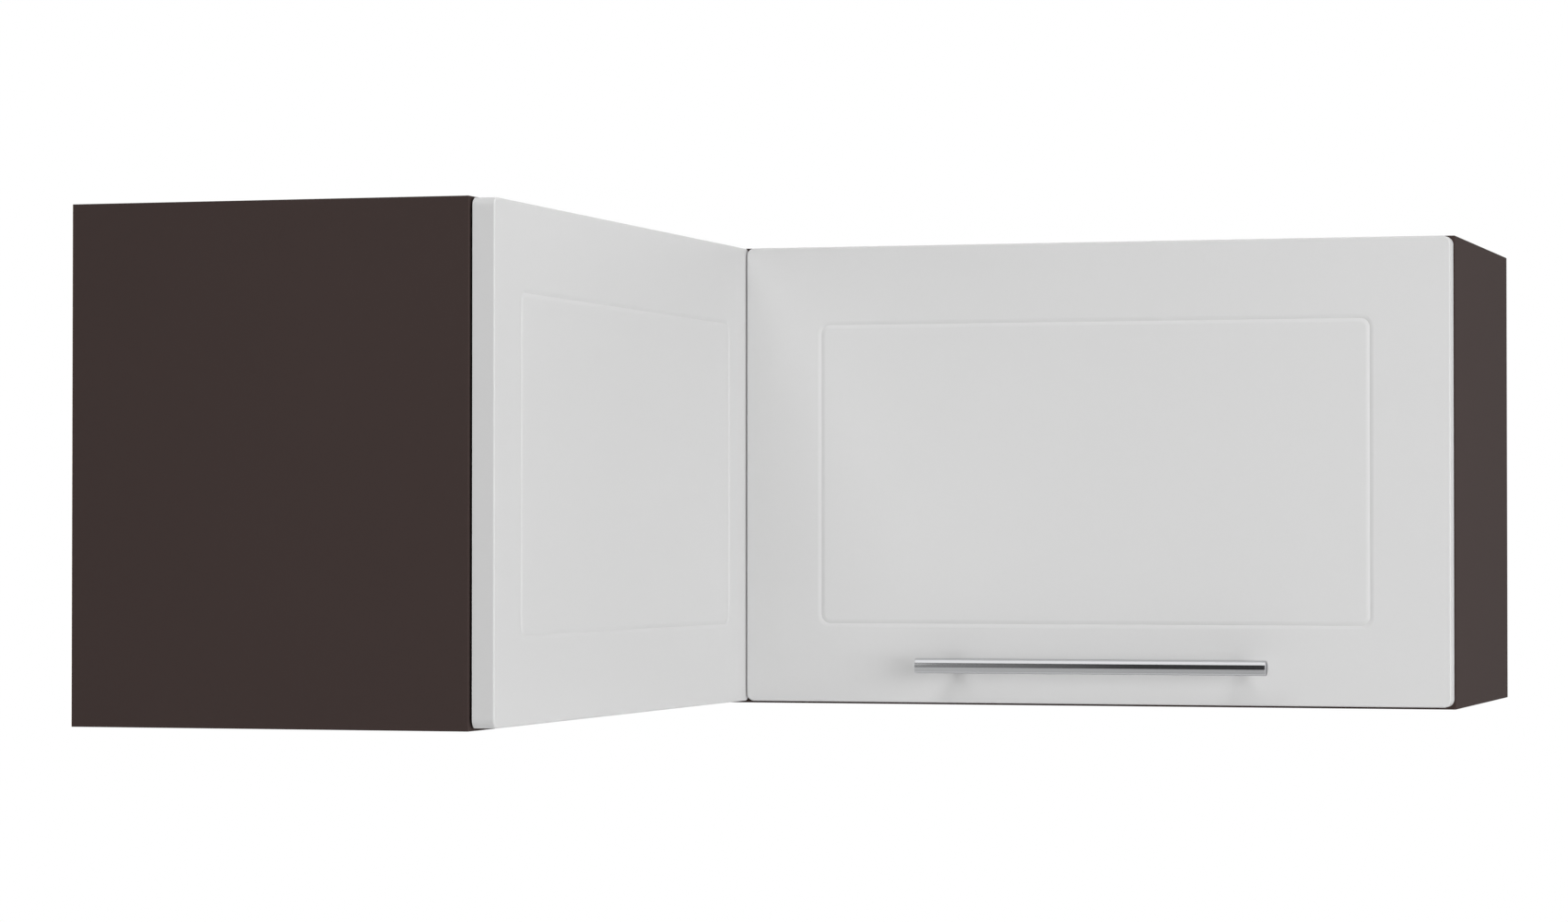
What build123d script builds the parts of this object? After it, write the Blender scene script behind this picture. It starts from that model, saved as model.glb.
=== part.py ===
from build123d import *
import os
from math import atan2, cos, hypot, sin

os.makedirs("parts", exist_ok=True)

# Corner wall cabinet, in millimetres. The origin is the room's corner at the height of the cabinet's
# underside: +X runs along the back wall, -Y along the left wall, +Z is up. The right wing lies along the
# back wall and is closed by a lift-up flap, the left wing lies along the left wall behind a fixed front.

# Carcass
board = 16.0  # laminated board
board_arris = 0.4  # eased edges of the banded boards
cabinet_height = 360.0
right_length = 867.0  # room corner to the outside of the right end panel
left_length = 886.0  # room corner to the outside of the left end panel
wing_depth = 291.0  # wall to the carcass's front edges
back_inset = 12.0  # wall to the thin back panels, room for the wall plates
back_thickness = 3.0
groove_depth = 6.0  # grooves that hold the back panels
groove_play = 0.1  # on each side of a back panel
front_post_width = 40.0  # each strip of the post at the front corner
rear_post_width = 80.0  # column in the room's corner

# Hidden fittings of the carcass
dowel_radius = 4.0
dowel_length = 28.0
dowel_bite = 10.0  # length of a dowel inside the board it meets face on
cam_radius = 7.4
cam_depth = 12.5
cam_distance = 34.0  # panel end to cam centre
cam_margin = 60.0  # wing edge to the first fitting
fitting_pitch = 32.0  # cam to dowel, and other drilling pitches
cam_slot = 7.4  # slot of a cam that takes the bolt's head
bolt_thread_radius = 2.5
bolt_thread_length = 11.0
bolt_shank_radius = 3.2
cap_radius = 8.5
cap_thickness = 1.0
cap_arris = 0.3
post_dowel_share = 0.2  # of a post's width, from each side to its dowels
fit_play = 0.05  # radial play of pins, screws and dowels in their holes

# Fronts
front_thickness = 16.0
front_gap = 2.0  # carcass to the back of the fronts
front_bottom = 2.0  # underside of the fronts
front_top_gap = 1.0  # cabinet top to the top of the fronts
front_end_gap = 1.0  # end panel's outside to a front's edge, flap side
fixed_end_gap = 1.5  # end panel's outside to the fixed front's edge
corner_gap = 0.8  # fixed front's face to the flap's edge
corner_run = 9.0  # how far the fixed front runs past the flap's face
front_corner_radius = 6.0
front_edge_radius = 1.2
frame_inset = 61.5  # front's edge to the middle of the milled frame
fixed_frame_inset = 53.5  # the same at the fixed front's two sides
frame_corner_radius = 7.0
milled_width = 6.4
milled_depth = 0.7
milled_roll = 0.3  # share of the depth that is reached halfway to the groove's middle

# Screws, by shank radius, head radius and head height
wood_screw = (1.75, 3.4, 1.8)
handle_screw = (2.0, 4.0, 2.4)
wood_screw_bite = 11.0
screw_tip_play = 0.5  # tip to the bottom of its hole
counterbore_play = 0.3
counterbore_sink = 0.5
post_screw_length = 48.0
post_screw_count = 3
post_screw_inset = 50.0

# Brackets and spacers of the fixed front
bracket_leg = 20.0
bracket_hole = 12.0  # bracket's corner to its screws
bracket_width = 20.0
bracket_thickness = 1.5
bracket_inset = 70.0  # front's edge to the outer brackets
spacer_radius = 5.0
bumper_radius = 5.0
bumper_thickness = 1.8
bumper_height = 9.0  # above the cabinet's underside
bumper_inset = 22.0  # from the flap's side edges

# Bar handle
bar_radius = 5.8
bar_length = 275.0
bar_end_radius = 0.8
bar_reach = 29.0  # front's face to the bar's middle
bar_height = 29.5  # flap's lower edge to the bar's middle
bar_shift = 5.0  # the bar's middle, right of the flap's middle
post_pitch = 224.0
post_radius = 4.5
post_thread_depth = 14.0
handle_hole_play = 0.25
handle_tip_play = 1.0

# Concealed hinges
hinge_inset = 100.0  # flap's side edge to a hinge's middle
cup_radius = 17.4
cup_bore_play = 0.1
cup_floor_play = 0.5
cup_depth = 11.5
cup_wall = 1.0
cup_edge = 3.0  # flap's top edge to the cup's bore
flange_thickness = 1.2
flange_length = 62.0
flange_width = 22.0
flange_corner_radius = 7.3
flange_drop = 6.0  # cup's middle down to the flange's middle
flange_rim = 1.8
cup_screw_pitch = 48.0
link_root_depth = 2.8  # link's pivot on the arm, inside the flap's back face
link_root_drop = 27.6  # and below the flap's top edge
link_tip_depth = 5.2  # link's pivot in the cup
link_tip_drop = 8.6
link_knee = 0.62  # share of the link's length at its knee
link_bulge = 3.8  # knee's offset from the line between the pivots
link_thickness = 2.6
link_eye = 2.7
link_width = 11.0
pin_radius = 1.5
side_play = 0.3  # along a pin, between parts that turn on it
ear_thickness = 2.0
ear_radius = 3.2
arm_wall = 1.2
arm_nose = 4.0
arm_drop = 9.4  # top panel's underside to the arm's lower face
arm_knee = 20.0  # the arm's straight part starts this far behind the carcass's front
arm_floor_fall = 0.3  # fall of the arm's floor from the knee to its nose
arm_reach = 64.0  # the arm's rear end, behind the carcass's front
plate_setback = 37.0  # carcass front edge to the row of plate screws
plate_thickness = 2.0
plate_wing = 22.0  # plate's width front to back
plate_span = 52.0
plate_corner_radius = 7.3
plate_screw_pitch = 32.0
boss_width = 11.0
boss_height = 5.6
boss_length = 33.0

# Gas strut
strut_offset = 26.0  # right end panel's inside to the strut's middle plane
strut_foot_setback = 138.0  # carcass front to the lower pivot
strut_foot_height = 185.0
strut_head_reach = 18.0  # flap's back to the upper pivot
strut_head_drop = 59.0  # flap's top edge down to the upper pivot
socket_radius = 6.5
socket_width = 8.0
socket_neck = 16.0  # pivot to the cylinder's end
socket_neck_radius = 5.0
foot_neck_radius = 3.5
strut_pin_radius = 3.0
strut_pin_end = 1.0  # past the socket
strut_collar_radius = 5.0
cylinder_radius = 7.5
cylinder_wall = 0.9
cylinder_floor = 2.0
cylinder_end_radius = 1.0
gland_length = 8.0
rod_show = 13.7  # rod between the cylinder and the upper socket, shut
rod_radius = 3.0
rod_start = 30.0  # lower pivot to the piston
rod_end = 8.0  # upper pivot back to the rod's end
piston_length = 5.0
strut_bracket_thickness = 2.0
strut_bracket_width = 22.0
strut_bracket_height = 56.0
strut_bracket_corner_radius = 5.5
strut_ear_play = 0.3
strut_ear_radius = 8.0
strut_flap_bracket_height = 44.0
strut_flap_screw_pitch = 26.4
strut_flap_bracket_width = 16.0

# Hangers and wall plates
hanger_start = 16.0  # from the wall
hanger_end = 70.0
hanger_bottom = 44.0  # below the top panel's underside
hanger_top = 2.0
hanger_thickness = 14.0
hanger_edge_radius = 2.0
hook_thickness = 2.5
hook_side_play = 0.3
hook_offset = 7.0  # board's face to the hook's middle plane
hook_height = 12.0
hook_drop = 4.0  # top panel's underside to the hook's top
hook_end = 45.0  # from the wall
hook_tip = 1.0
hook_notch = (4.5, 7.5)  # notch over the wall plate's lip, from the wall
hook_notch_height = 8.0
hanger_slot_end = 50.0
plate_lip = (5.0, 7.0)  # standing lip of the wall plate, from the wall
wall_plate_thickness = 2.0
wall_plate_width = 50.0
wall_plate_start = 0.5  # from the board's face
wall_plate_height = 40.0
wall_plate_step = 22.0  # height of its flat lower part
plate_step_rise = 1.0  # how much higher the plate's rear face steps than its front face
lip_play = 0.3
wall_screw_radius = 3.25
wall_screw_height = 11.0  # above the plate's lower edge
hanger_screw_height = 8.0  # above the housing's lower edge
hanger_screw_inset = 10.0
adjuster_screw = (2.0, 3.5, 1.6)
adjuster_length = 14.0
adjuster_low = 8.0  # hook's lower edge down to the lower adjusting screw
adjuster_high = 5.0  # hook's upper edge down to the upper adjusting screw
hook_slot_play = 4.0  # beside and under the hook where it passes the back panel
hook_slot_rise = 2.0  # above it

# Places that follow from the sizes
top_under = cabinet_height - board
right_inner = right_length - board
left_inner = -(left_length - board)
front_x = wing_depth
front_y = -wing_depth
back_face = back_inset + back_thickness
front_back = wing_depth + front_gap  # back of both fronts, from the wall
front_face = front_back + front_thickness
front_top = cabinet_height - front_top_gap
front_height = front_top - front_bottom
front_middle = (front_top + front_bottom) / 2
flap_left = front_face + corner_gap
flap_right = right_length - front_end_gap
flap_width = flap_right - flap_left
fixed_far = -(left_length - fixed_end_gap)
fixed_near = -(front_face - corner_run)
fixed_width = fixed_near - fixed_far
hinge_x = {"left": flap_left + hinge_inset, "right": flap_right - hinge_inset}
cup_z = front_top - cup_edge - cup_radius - cup_bore_play
link_root = (-front_back - link_root_depth, front_top - link_root_drop)
link_tip = (-front_back - link_tip_depth, front_top - link_tip_drop)
strut_x = right_inner - strut_offset
strut_foot = (front_y + strut_foot_setback, strut_foot_height)
strut_head = (-front_back + strut_head_reach, front_top - strut_head_drop)
strut_rest_length = hypot(strut_head[0] - strut_foot[0], strut_head[1] - strut_foot[1])
strut_angle = atan2(strut_head[1] - strut_foot[1], strut_head[0] - strut_foot[0])
strut_axis = (0, cos(strut_angle), sin(strut_angle))
cylinder_length = strut_rest_length - 2 * socket_neck - rod_show


def save(piece, label):
    """Label a finished piece and write it under its name."""
    piece.part.label = label
    export_step(piece.part, f"parts/{label}.step")


def block(x0, x1, y0, y1, z0, z1, mode=Mode.ADD):
    """A straight block between two corners, inside the part being built."""
    with Locations(((x0 + x1) / 2, (y0 + y1) / 2, (z0 + z1) / 2)):
        Box(abs(x1 - x0), abs(y1 - y0), abs(z1 - z0), mode=mode)


def bar(start, direction, radius, length, mode=Mode.ADD):
    """A round bar or bore that starts at a point and runs along a direction."""
    with BuildSketch(Plane(origin=start, z_dir=direction)) as section:
        Circle(radius)
    extrude(section.sketch, amount=length, mode=mode)


def screw_hole(start, direction, depth=wood_screw_bite):
    """A wood screw's hole, cut from the part being built."""
    bar(start, direction, wood_screw[0] + fit_play, depth, Mode.SUBTRACT)


def screw(tip_side, direction, size, length):
    """A pan-head screw: its head sits on the point tip_side and its shank runs along direction."""
    shank, head, height = size
    bar(tip_side, direction, shank, length)
    back = tuple(-d for d in direction)
    bar(tip_side, back, head, height)


# --- Where the fittings sit -----------------------------------------------------------------------

# Each end of the two L-shaped panels meets an end panel: (outward direction, function of the row).
ends = (
    ((1, 0, 0), lambda row: (right_inner, -row)),
    ((0, -1, 0), lambda row: (row, left_inner)),
)
cam_rows = (cam_margin, wing_depth - cam_margin)
dowel_rows = (cam_margin + fitting_pitch, wing_depth - cam_margin - fitting_pitch)
panel_heights = (0.0, top_under)  # undersides of the bottom and top panels

# The posts stand between the panels: (low x, high x, low y, high y).
post_inner_x = front_x - board
post_inner_y = front_y + board
posts = {
    "front_post_left": (post_inner_x, front_x, front_y - front_post_width, post_inner_y),
    "front_post_right": (front_x, front_x + front_post_width, front_y, post_inner_y),
    "rear_post_right": (
        back_face + rear_post_width - board,
        back_face + rear_post_width,
        -back_face - rear_post_width,
        -back_face,
    ),
    "rear_post_left": (
        back_face,
        back_face + rear_post_width - board,
        -back_face - rear_post_width,
        -back_face - rear_post_width + board,
    ),
}


def post_dowel_places(box):
    """Two dowels in a post's end, on the middle of its board."""
    x0, x1, y0, y1 = box
    wide_in_x = x1 - x0 > y1 - y0
    places = []
    for share in (post_dowel_share, 1 - post_dowel_share):
        x = x0 + share * (x1 - x0) if wide_in_x else (x0 + x1) / 2
        y = (y0 + y1) / 2 if wide_in_x else y0 + share * (y1 - y0)
        places.append((x, y))
    return places


post_screw_low = board + post_screw_inset
post_screw_step = (top_under - post_screw_inset - post_screw_low) / (post_screw_count - 1)
post_screw_heights = [post_screw_low + i * post_screw_step for i in range(post_screw_count)]
post_screw_starts = [
    ((post_inner_x, (front_y + post_inner_y) / 2), (1, 0, 0)),
    ((posts["rear_post_right"][1], posts["rear_post_left"][2] + board / 2), (-1, 0, 0)),
]

# Brackets of the fixed front: their places along the left wing, at the top and at the bottom.
bracket_rows = [
    fixed_far + board + bracket_inset,
    (fixed_far + fixed_near) / 2,
    fixed_near - bracket_inset - front_post_width,
]
# Carcass face that a bracket is screwed to, and the side of it that faces inward.
bracket_sides = ((top_under, -1), (board, 1))

# Hangers: name, board's face, direction away from that face, and direction into the room.
hangers = {
    "right_end": ((right_inner, 0, 0), (-1, 0, 0), (0, -1, 0)),
    "rear_right": ((posts["rear_post_right"][1], 0, 0), (1, 0, 0), (0, -1, 0)),
    "rear_left": ((0, posts["rear_post_left"][2], 0), (0, -1, 0), (1, 0, 0)),
    "left_end": ((0, left_inner, 0), (0, 1, 0), (1, 0, 0)),
}
hook_top = top_under - hook_drop
hook_bottom = hook_top - hook_height
notch_top = hook_bottom + hook_notch_height
plate_top = notch_top - lip_play
plate_bottom = plate_top - wall_plate_height
housing_bottom = top_under - hanger_bottom
hanger_screw_z = housing_bottom + hanger_screw_height
hanger_screw_places = (hanger_start + hanger_screw_inset, hanger_end - hanger_screw_inset)


def ease(piece, *directions):
    """Ease the edges of a board's outermost face in each direction."""
    picked = []
    for direction in directions:
        face = piece.faces().sort_by(Axis((0, 0, 0), direction))[-1]
        picked += [edge for edge in face.edges() if edge not in picked]
    chamfer(picked, board_arris)


def hanger_plane(face, away, room):
    """Plane of a board's face; local X runs from the wall into the room, local Z away from the board."""
    return Plane(origin=face, x_dir=room, z_dir=away)


def along(face, steps):
    """A point reached from face by (distance, direction) steps."""
    x, y, z = face
    for distance, direction in steps:
        x += distance * direction[0]
        y += distance * direction[1]
        z += distance * direction[2]
    return (x, y, z)


def profile(plane, points, start, end, mode=Mode.ADD):
    """Extrude an outline of (distance from the wall, height) points between two distances off a board."""
    up = 1 if plane.y_dir.Z > 0 else -1
    with BuildSketch(plane.offset(start)) as outline:
        with BuildLine():
            Polyline([(u, up * z) for u, z in points], close=True)
        make_face()
    extrude(outline.sketch, amount=end - start, mode=mode)


# --- Carcass --------------------------------------------------------------------------------------

back_groove = (back_inset - groove_play, back_face + groove_play)

# Bottom and top: L-shaped boards between the end panels, grooved for the backs and bored for the fittings.
for label, underside in zip(("bottom_panel", "top_panel"), panel_heights):
    inner_face = board if underside == 0 else top_under
    inward = 1 if underside == 0 else -1
    middle = underside + board / 2
    with BuildPart() as panel:
        with BuildSketch(Plane.XY.offset(underside)):
            with BuildLine():
                Polyline(
                    (0, 0),
                    (right_inner, 0),
                    (right_inner, front_y),
                    (front_x, front_y),
                    (front_x, left_inner),
                    (0, left_inner),
                    close=True,
                )
            make_face()
        extrude(amount=board)
        groove_z = (inner_face, inner_face - inward * groove_depth)
        block(back_inset, right_inner, -back_groove[0], -back_groove[1], *groove_z, Mode.SUBTRACT)
        block(*back_groove, -back_inset, left_inner, *groove_z, Mode.SUBTRACT)
        for outward, place in ends:
            inwards = tuple(-d for d in outward)
            for row in cam_rows:
                x, y = place(row)
                cam_top = (x - cam_distance * outward[0], y - cam_distance * outward[1], underside + board)
                bar(cam_top, (0, 0, -1), cam_radius + fit_play, cam_depth, Mode.SUBTRACT)
                bar((x, y, middle), inwards, cam_slot / 2, cam_distance, Mode.SUBTRACT)
            for row in dowel_rows:
                x, y = place(row)
                bar(
                    (x, y, middle),
                    inwards,
                    dowel_radius + fit_play,
                    dowel_length - dowel_bite,
                    Mode.SUBTRACT,
                )
        for box in posts.values():
            for x, y in post_dowel_places(box):
                bar((x, y, inner_face), (0, 0, -inward), dowel_radius + fit_play, dowel_bite, Mode.SUBTRACT)
        for y in bracket_rows:
            x = front_back - bracket_hole
            screw_hole((x, y, inner_face), (0, 0, -inward))
        if label == "top_panel":
            for hx in hinge_x.values():
                for side in (-1, 1):
                    x = hx + side * plate_screw_pitch / 2
                    screw_hole((x, front_y + plate_setback, inner_face), (0, 0, 1))
    save(panel, label)

# End panels: plain boards over the full height, grooved for the backs.
with BuildPart() as right_end_panel:
    block(right_inner, right_length, front_y, 0, 0, cabinet_height)
    ease(right_end_panel, (1, 0, 0), (0, -1, 0))
    block(
        right_inner,
        right_inner + groove_depth,
        -back_groove[0],
        -back_groove[1],
        board - groove_depth,
        top_under + groove_depth,
        Mode.SUBTRACT,
    )
    for underside in panel_heights:
        middle = underside + board / 2
        for row in cam_rows:
            bar(
                (right_inner, -row, middle),
                (1, 0, 0),
                bolt_thread_radius + fit_play,
                bolt_thread_length,
                Mode.SUBTRACT,
            )
        for row in dowel_rows:
            bar((right_inner, -row, middle), (1, 0, 0), dowel_radius + fit_play, dowel_bite, Mode.SUBTRACT)
    for u in hanger_screw_places:
        screw_hole((right_inner, -u, hanger_screw_z), (1, 0, 0))
    for side in (-1, 1):
        z = strut_foot_height + side * plate_screw_pitch / 2
        screw_hole((right_inner, strut_foot[0], z), (1, 0, 0))
save(right_end_panel, "right_end_panel")

with BuildPart() as left_end_panel:
    block(0, front_x, -left_length, left_inner, 0, cabinet_height)
    ease(left_end_panel, (0, -1, 0), (1, 0, 0))
    block(
        back_groove[0],
        back_groove[1],
        left_inner,
        left_inner - groove_depth,
        board - groove_depth,
        top_under + groove_depth,
        Mode.SUBTRACT,
    )
    for underside in panel_heights:
        middle = underside + board / 2
        for row in cam_rows:
            bar(
                (row, left_inner, middle),
                (0, -1, 0),
                bolt_thread_radius + fit_play,
                bolt_thread_length,
                Mode.SUBTRACT,
            )
        for row in dowel_rows:
            bar((row, left_inner, middle), (0, -1, 0), dowel_radius + fit_play, dowel_bite, Mode.SUBTRACT)
    for u in hanger_screw_places:
        screw_hole((u, left_inner, hanger_screw_z), (0, -1, 0))
save(left_end_panel, "left_end_panel")

# Back panels: hardboard in the grooves, with a slot where each hanger's hook comes through.
back_low = board - groove_depth + groove_play
back_high = top_under + groove_depth - groove_play
slot_low = hook_bottom - hook_slot_play
slot_high = hook_top + hook_slot_rise
slot_half = hook_thickness / 2 + hook_slot_play

with BuildPart() as back_panel_right:
    right_edge = right_inner + groove_depth - groove_play
    block(back_inset, right_edge, -back_face, -back_inset, back_low, back_high)
    for name, direction in (("right_end", -1), ("rear_right", 1)):
        x = hangers[name][0][0] + direction * hook_offset
        block(x - slot_half, x + slot_half, -back_face, -back_inset, slot_low, slot_high, Mode.SUBTRACT)
save(back_panel_right, "back_panel_right")

with BuildPart() as back_panel_left:
    left_edge = left_inner - groove_depth + groove_play
    block(back_inset, back_face, -back_face - groove_play, left_edge, back_low, back_high)
    for name, direction in (("left_end", 1), ("rear_left", -1)):
        y = hangers[name][0][1] + direction * hook_offset
        block(back_inset, back_face, y - slot_half, y + slot_half, slot_low, slot_high, Mode.SUBTRACT)
save(back_panel_left, "back_panel_left")

# Posts: an angle of two strips at the front corner and a column in the room's corner.
for label, box in posts.items():
    x0, x1, y0, y1 = box
    with BuildPart() as post:
        block(x0, x1, y0, y1, board, top_under)
        for x, y in post_dowel_places(box):
            for z, up in ((board, 1), (top_under, -1)):
                depth = dowel_length - dowel_bite
                bar((x, y, z), (0, 0, up), dowel_radius + fit_play, depth, Mode.SUBTRACT)
        for z in post_screw_heights:
            for (sx, sy), direction in post_screw_starts:
                screw_hole((sx, sy, z), direction, post_screw_length)
        for name, (face, away, room) in hangers.items():
            inwards = tuple(-d for d in away)
            if name.startswith("rear"):
                for u in hanger_screw_places:
                    start = along(face, ((u, room),))
                    start = (start[0], start[1], hanger_screw_z)
                    screw_hole(start, inwards)
    save(post, label)

# --- Carcass fittings -----------------------------------------------------------------------------

with BuildPart() as dowels:
    for underside in panel_heights:
        for outward, place in ends:
            for row in dowel_rows:
                x, y = place(row)
                back = dowel_length - dowel_bite
                start = (x - back * outward[0], y - back * outward[1], underside + board / 2)
                bar(start, outward, dowel_radius, dowel_length)
    for box in posts.values():
        for x, y in post_dowel_places(box):
            bar((x, y, board - dowel_bite), (0, 0, 1), dowel_radius, dowel_length)
            bar((x, y, top_under + dowel_bite), (0, 0, -1), dowel_radius, dowel_length)
save(dowels, "dowels")

bolt_reach = cam_distance + cam_slot / 2 - fit_play  # shank's length inside the panel

with BuildPart() as cam_bolts:
    for underside in panel_heights:
        for outward, place in ends:
            inwards = tuple(-d for d in outward)
            for row in cam_rows:
                x, y = place(row)
                start = (x, y, underside + board / 2)
                bar(start, outward, bolt_thread_radius, bolt_thread_length)
                bar(start, inwards, bolt_shank_radius, cam_distance)
save(cam_bolts, "cam_bolts")

with BuildPart() as cam_locks:
    for underside in panel_heights:
        for outward, place in ends:
            inwards = tuple(-d for d in outward)
            for row in cam_rows:
                x, y = place(row)
                centre = (x - cam_distance * outward[0], y - cam_distance * outward[1])
                bar((centre[0], centre[1], underside + board), (0, 0, -1), cam_radius, cam_depth)
                start = (x, y, underside + board / 2)
                bar(start, inwards, cam_slot / 2, bolt_reach, Mode.SUBTRACT)
                recess = (centre[0], centre[1], underside + board)
                bar(recess, (0, 0, -1), bolt_thread_radius, cap_thickness, Mode.SUBTRACT)
save(cam_locks, "cam_locks")

with BuildPart() as cam_caps:
    for outward, place in ends:
        for row in cam_rows:
            x, y = place(row)
            centre = (x - cam_distance * outward[0], y - cam_distance * outward[1], board)
            bar(centre, (0, 0, 1), cap_radius, cap_thickness)
    chamfer(cam_caps.edges().group_by(Axis.Z)[-1], cap_arris)
save(cam_caps, "cam_caps")

with BuildPart() as post_screws:
    for z in post_screw_heights:
        for (sx, sy), direction in post_screw_starts:
            screw((sx, sy, z), direction, wood_screw, post_screw_length)
save(post_screws, "post_screws")

# --- Fronts ---------------------------------------------------------------------------------------


def milled_section(plane):
    """The milled frame's section: two rounded shoulders that meet in a crease. The plane's Y looks out."""
    half = milled_width / 2
    with BuildSketch(plane) as section:
        with BuildLine():
            ThreePointArc((-half, 0), (-half / 2, -milled_roll * milled_depth), (0, -milled_depth))
            ThreePointArc((0, -milled_depth), (half / 2, -milled_roll * milled_depth), (half, 0))
            Polyline((half, 0), (half, milled_depth), (-half, milled_depth), (-half, 0))
        make_face()
    return section.sketch


def front_board(plane, width, height, side_inset):
    """A front with eased edges and a frame milled into its face; plane lies on the face, looking out."""
    with BuildSketch(plane) as outline:
        RectangleRounded(width, height, front_corner_radius)
    extrude(outline.sketch, amount=-front_thickness)
    face_edges = faces().sort_by(Axis(plane.origin, plane.z_dir))[-1].edges()
    fillet(face_edges, front_edge_radius)
    with BuildSketch(plane) as frame_line:
        RectangleRounded(width - 2 * side_inset, height - 2 * frame_inset, frame_corner_radius)
    path_wire = frame_line.sketch.faces()[0].outer_wire()
    along_path = path_wire % 0
    section_plane = Plane(origin=path_wire @ 0, x_dir=along_path.cross(plane.z_dir), z_dir=along_path)
    if section_plane.y_dir.dot(plane.z_dir) < 0:
        section_plane = Plane(origin=path_wire @ 0, x_dir=plane.z_dir.cross(along_path), z_dir=along_path)
    sweep(milled_section(section_plane), path=path_wire, mode=Mode.SUBTRACT)


with BuildPart() as fixed_front:
    fixed_middle = (front_face, (fixed_far + fixed_near) / 2, front_middle)
    fixed_plane = Plane(origin=fixed_middle, x_dir=(0, 1, 0), z_dir=(1, 0, 0))
    front_board(fixed_plane, fixed_width, front_height, fixed_frame_inset)
    for y in bracket_rows:
        for face_z, inward in bracket_sides:
            z = face_z + inward * bracket_hole
            screw_hole((front_back, y, z), (1, 0, 0))
save(fixed_front, "fixed_front")

with BuildPart() as fixed_front_brackets:
    for y in bracket_rows:
        for face_z, inward in bracket_sides:
            y0, y1 = y - bracket_width / 2, y + bracket_width / 2
            block(front_back - bracket_leg, front_back, y0, y1, face_z, face_z + inward * bracket_thickness)
            block(
                front_back - bracket_thickness, front_back, y0, y1, face_z, face_z + inward * bracket_leg
            )
            under_board = (front_back - bracket_hole, y, face_z)
            behind_front = (front_back, y, face_z + inward * bracket_hole)
            screw_hole(under_board, (0, 0, inward), bracket_thickness)
            screw_hole(behind_front, (-1, 0, 0), bracket_thickness)
save(fixed_front_brackets, "fixed_front_brackets")

with BuildPart() as fixed_front_screws:
    bracket_bite = wood_screw_bite - screw_tip_play + bracket_thickness
    for y in bracket_rows:
        for face_z, inward in bracket_sides:
            under_board = (front_back - bracket_hole, y, face_z + inward * bracket_thickness)
            behind_front = (front_back - bracket_thickness, y, face_z + inward * bracket_hole)
            screw(under_board, (0, 0, -inward), wood_screw, bracket_bite)
            screw(behind_front, (1, 0, 0), wood_screw, bracket_bite)
save(fixed_front_screws, "fixed_front_screws")

with BuildPart() as fixed_front_spacers:
    for y in bracket_rows:
        for z in (board / 2, cabinet_height - board / 2):
            bar((front_x, y, z), (1, 0, 0), spacer_radius, front_gap)
save(fixed_front_spacers, "fixed_front_spacers")

# Flap: the second front, bored for two hinge cups, the handle's screws and the strut's bracket.
flap_middle = (flap_left + flap_right) / 2
bar_middle = flap_middle + bar_shift
bar_z = front_bottom + bar_height
post_x = {"left": bar_middle - post_pitch / 2, "right": bar_middle + post_pitch / 2}
flange_z = cup_z - flange_drop
strut_ear_x = strut_x + socket_width / 2 + strut_bracket_thickness + strut_ear_play
strut_screw_x = strut_ear_x + (strut_flap_bracket_width + strut_bracket_thickness) / 2
strut_screw_heights = [strut_head[1] + side * strut_flap_screw_pitch / 2 for side in (-1, 1)]

with BuildPart() as flap:
    flap_plane = Plane(origin=(flap_middle, -front_face, front_middle), x_dir=(1, 0, 0), z_dir=(0, -1, 0))
    front_board(flap_plane, flap_width, front_height, frame_inset)
    for hx in hinge_x.values():
        cup_seat = (hx, -front_back, cup_z)
        bar(cup_seat, (0, -1, 0), cup_radius + cup_bore_play, cup_depth + cup_floor_play, Mode.SUBTRACT)
        for side in (-1, 1):
            start = (hx + side * cup_screw_pitch / 2, -front_back, flange_z)
            screw_hole(start, (0, -1, 0))
    for x in post_x.values():
        start = (x, -front_back, bar_z)
        bar(start, (0, -1, 0), handle_screw[0] + handle_hole_play, front_thickness, Mode.SUBTRACT)
    for z in strut_screw_heights:
        start = (strut_screw_x, -front_back, z)
        screw_hole(start, (0, -1, 0))
save(flap, "flap")

with BuildPart() as flap_bumpers:
    for x in (flap_left + bumper_inset, flap_right - bumper_inset):
        bar((x, -front_back, bumper_height), (0, 1, 0), bumper_radius, bumper_thickness)
save(flap_bumpers, "flap_bumpers")

# --- Handle ---------------------------------------------------------------------------------------

bar_y = -(front_face + bar_reach)

with BuildPart() as handle_bar:
    bar((bar_middle - bar_length / 2, bar_y, bar_z), (1, 0, 0), bar_radius, bar_length)
    fillet(handle_bar.edges().filter_by(GeomType.CIRCLE), bar_end_radius)
save(handle_bar, "handle_bar")

for side, x in post_x.items():
    with BuildPart() as handle_post:
        bar((x, -front_face, bar_z), (0, -1, 0), post_radius, bar_reach)
        thread_radius = handle_screw[0] + fit_play
        bar((x, -front_face, bar_z), (0, -1, 0), thread_radius, post_thread_depth, Mode.SUBTRACT)
        saddle = (bar_middle - bar_length / 2, bar_y, bar_z)
        bar(saddle, (1, 0, 0), bar_radius + fit_play, bar_length, Mode.SUBTRACT)
    save(handle_post, f"handle_post_{side}")

with BuildPart() as handle_screws:
    for x in post_x.values():
        length = front_thickness + post_thread_depth - handle_tip_play
        screw((x, -front_back, bar_z), (0, -1, 0), handle_screw, length)
save(handle_screws, "handle_screws")

# --- Concealed hinges -----------------------------------------------------------------------------

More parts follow.
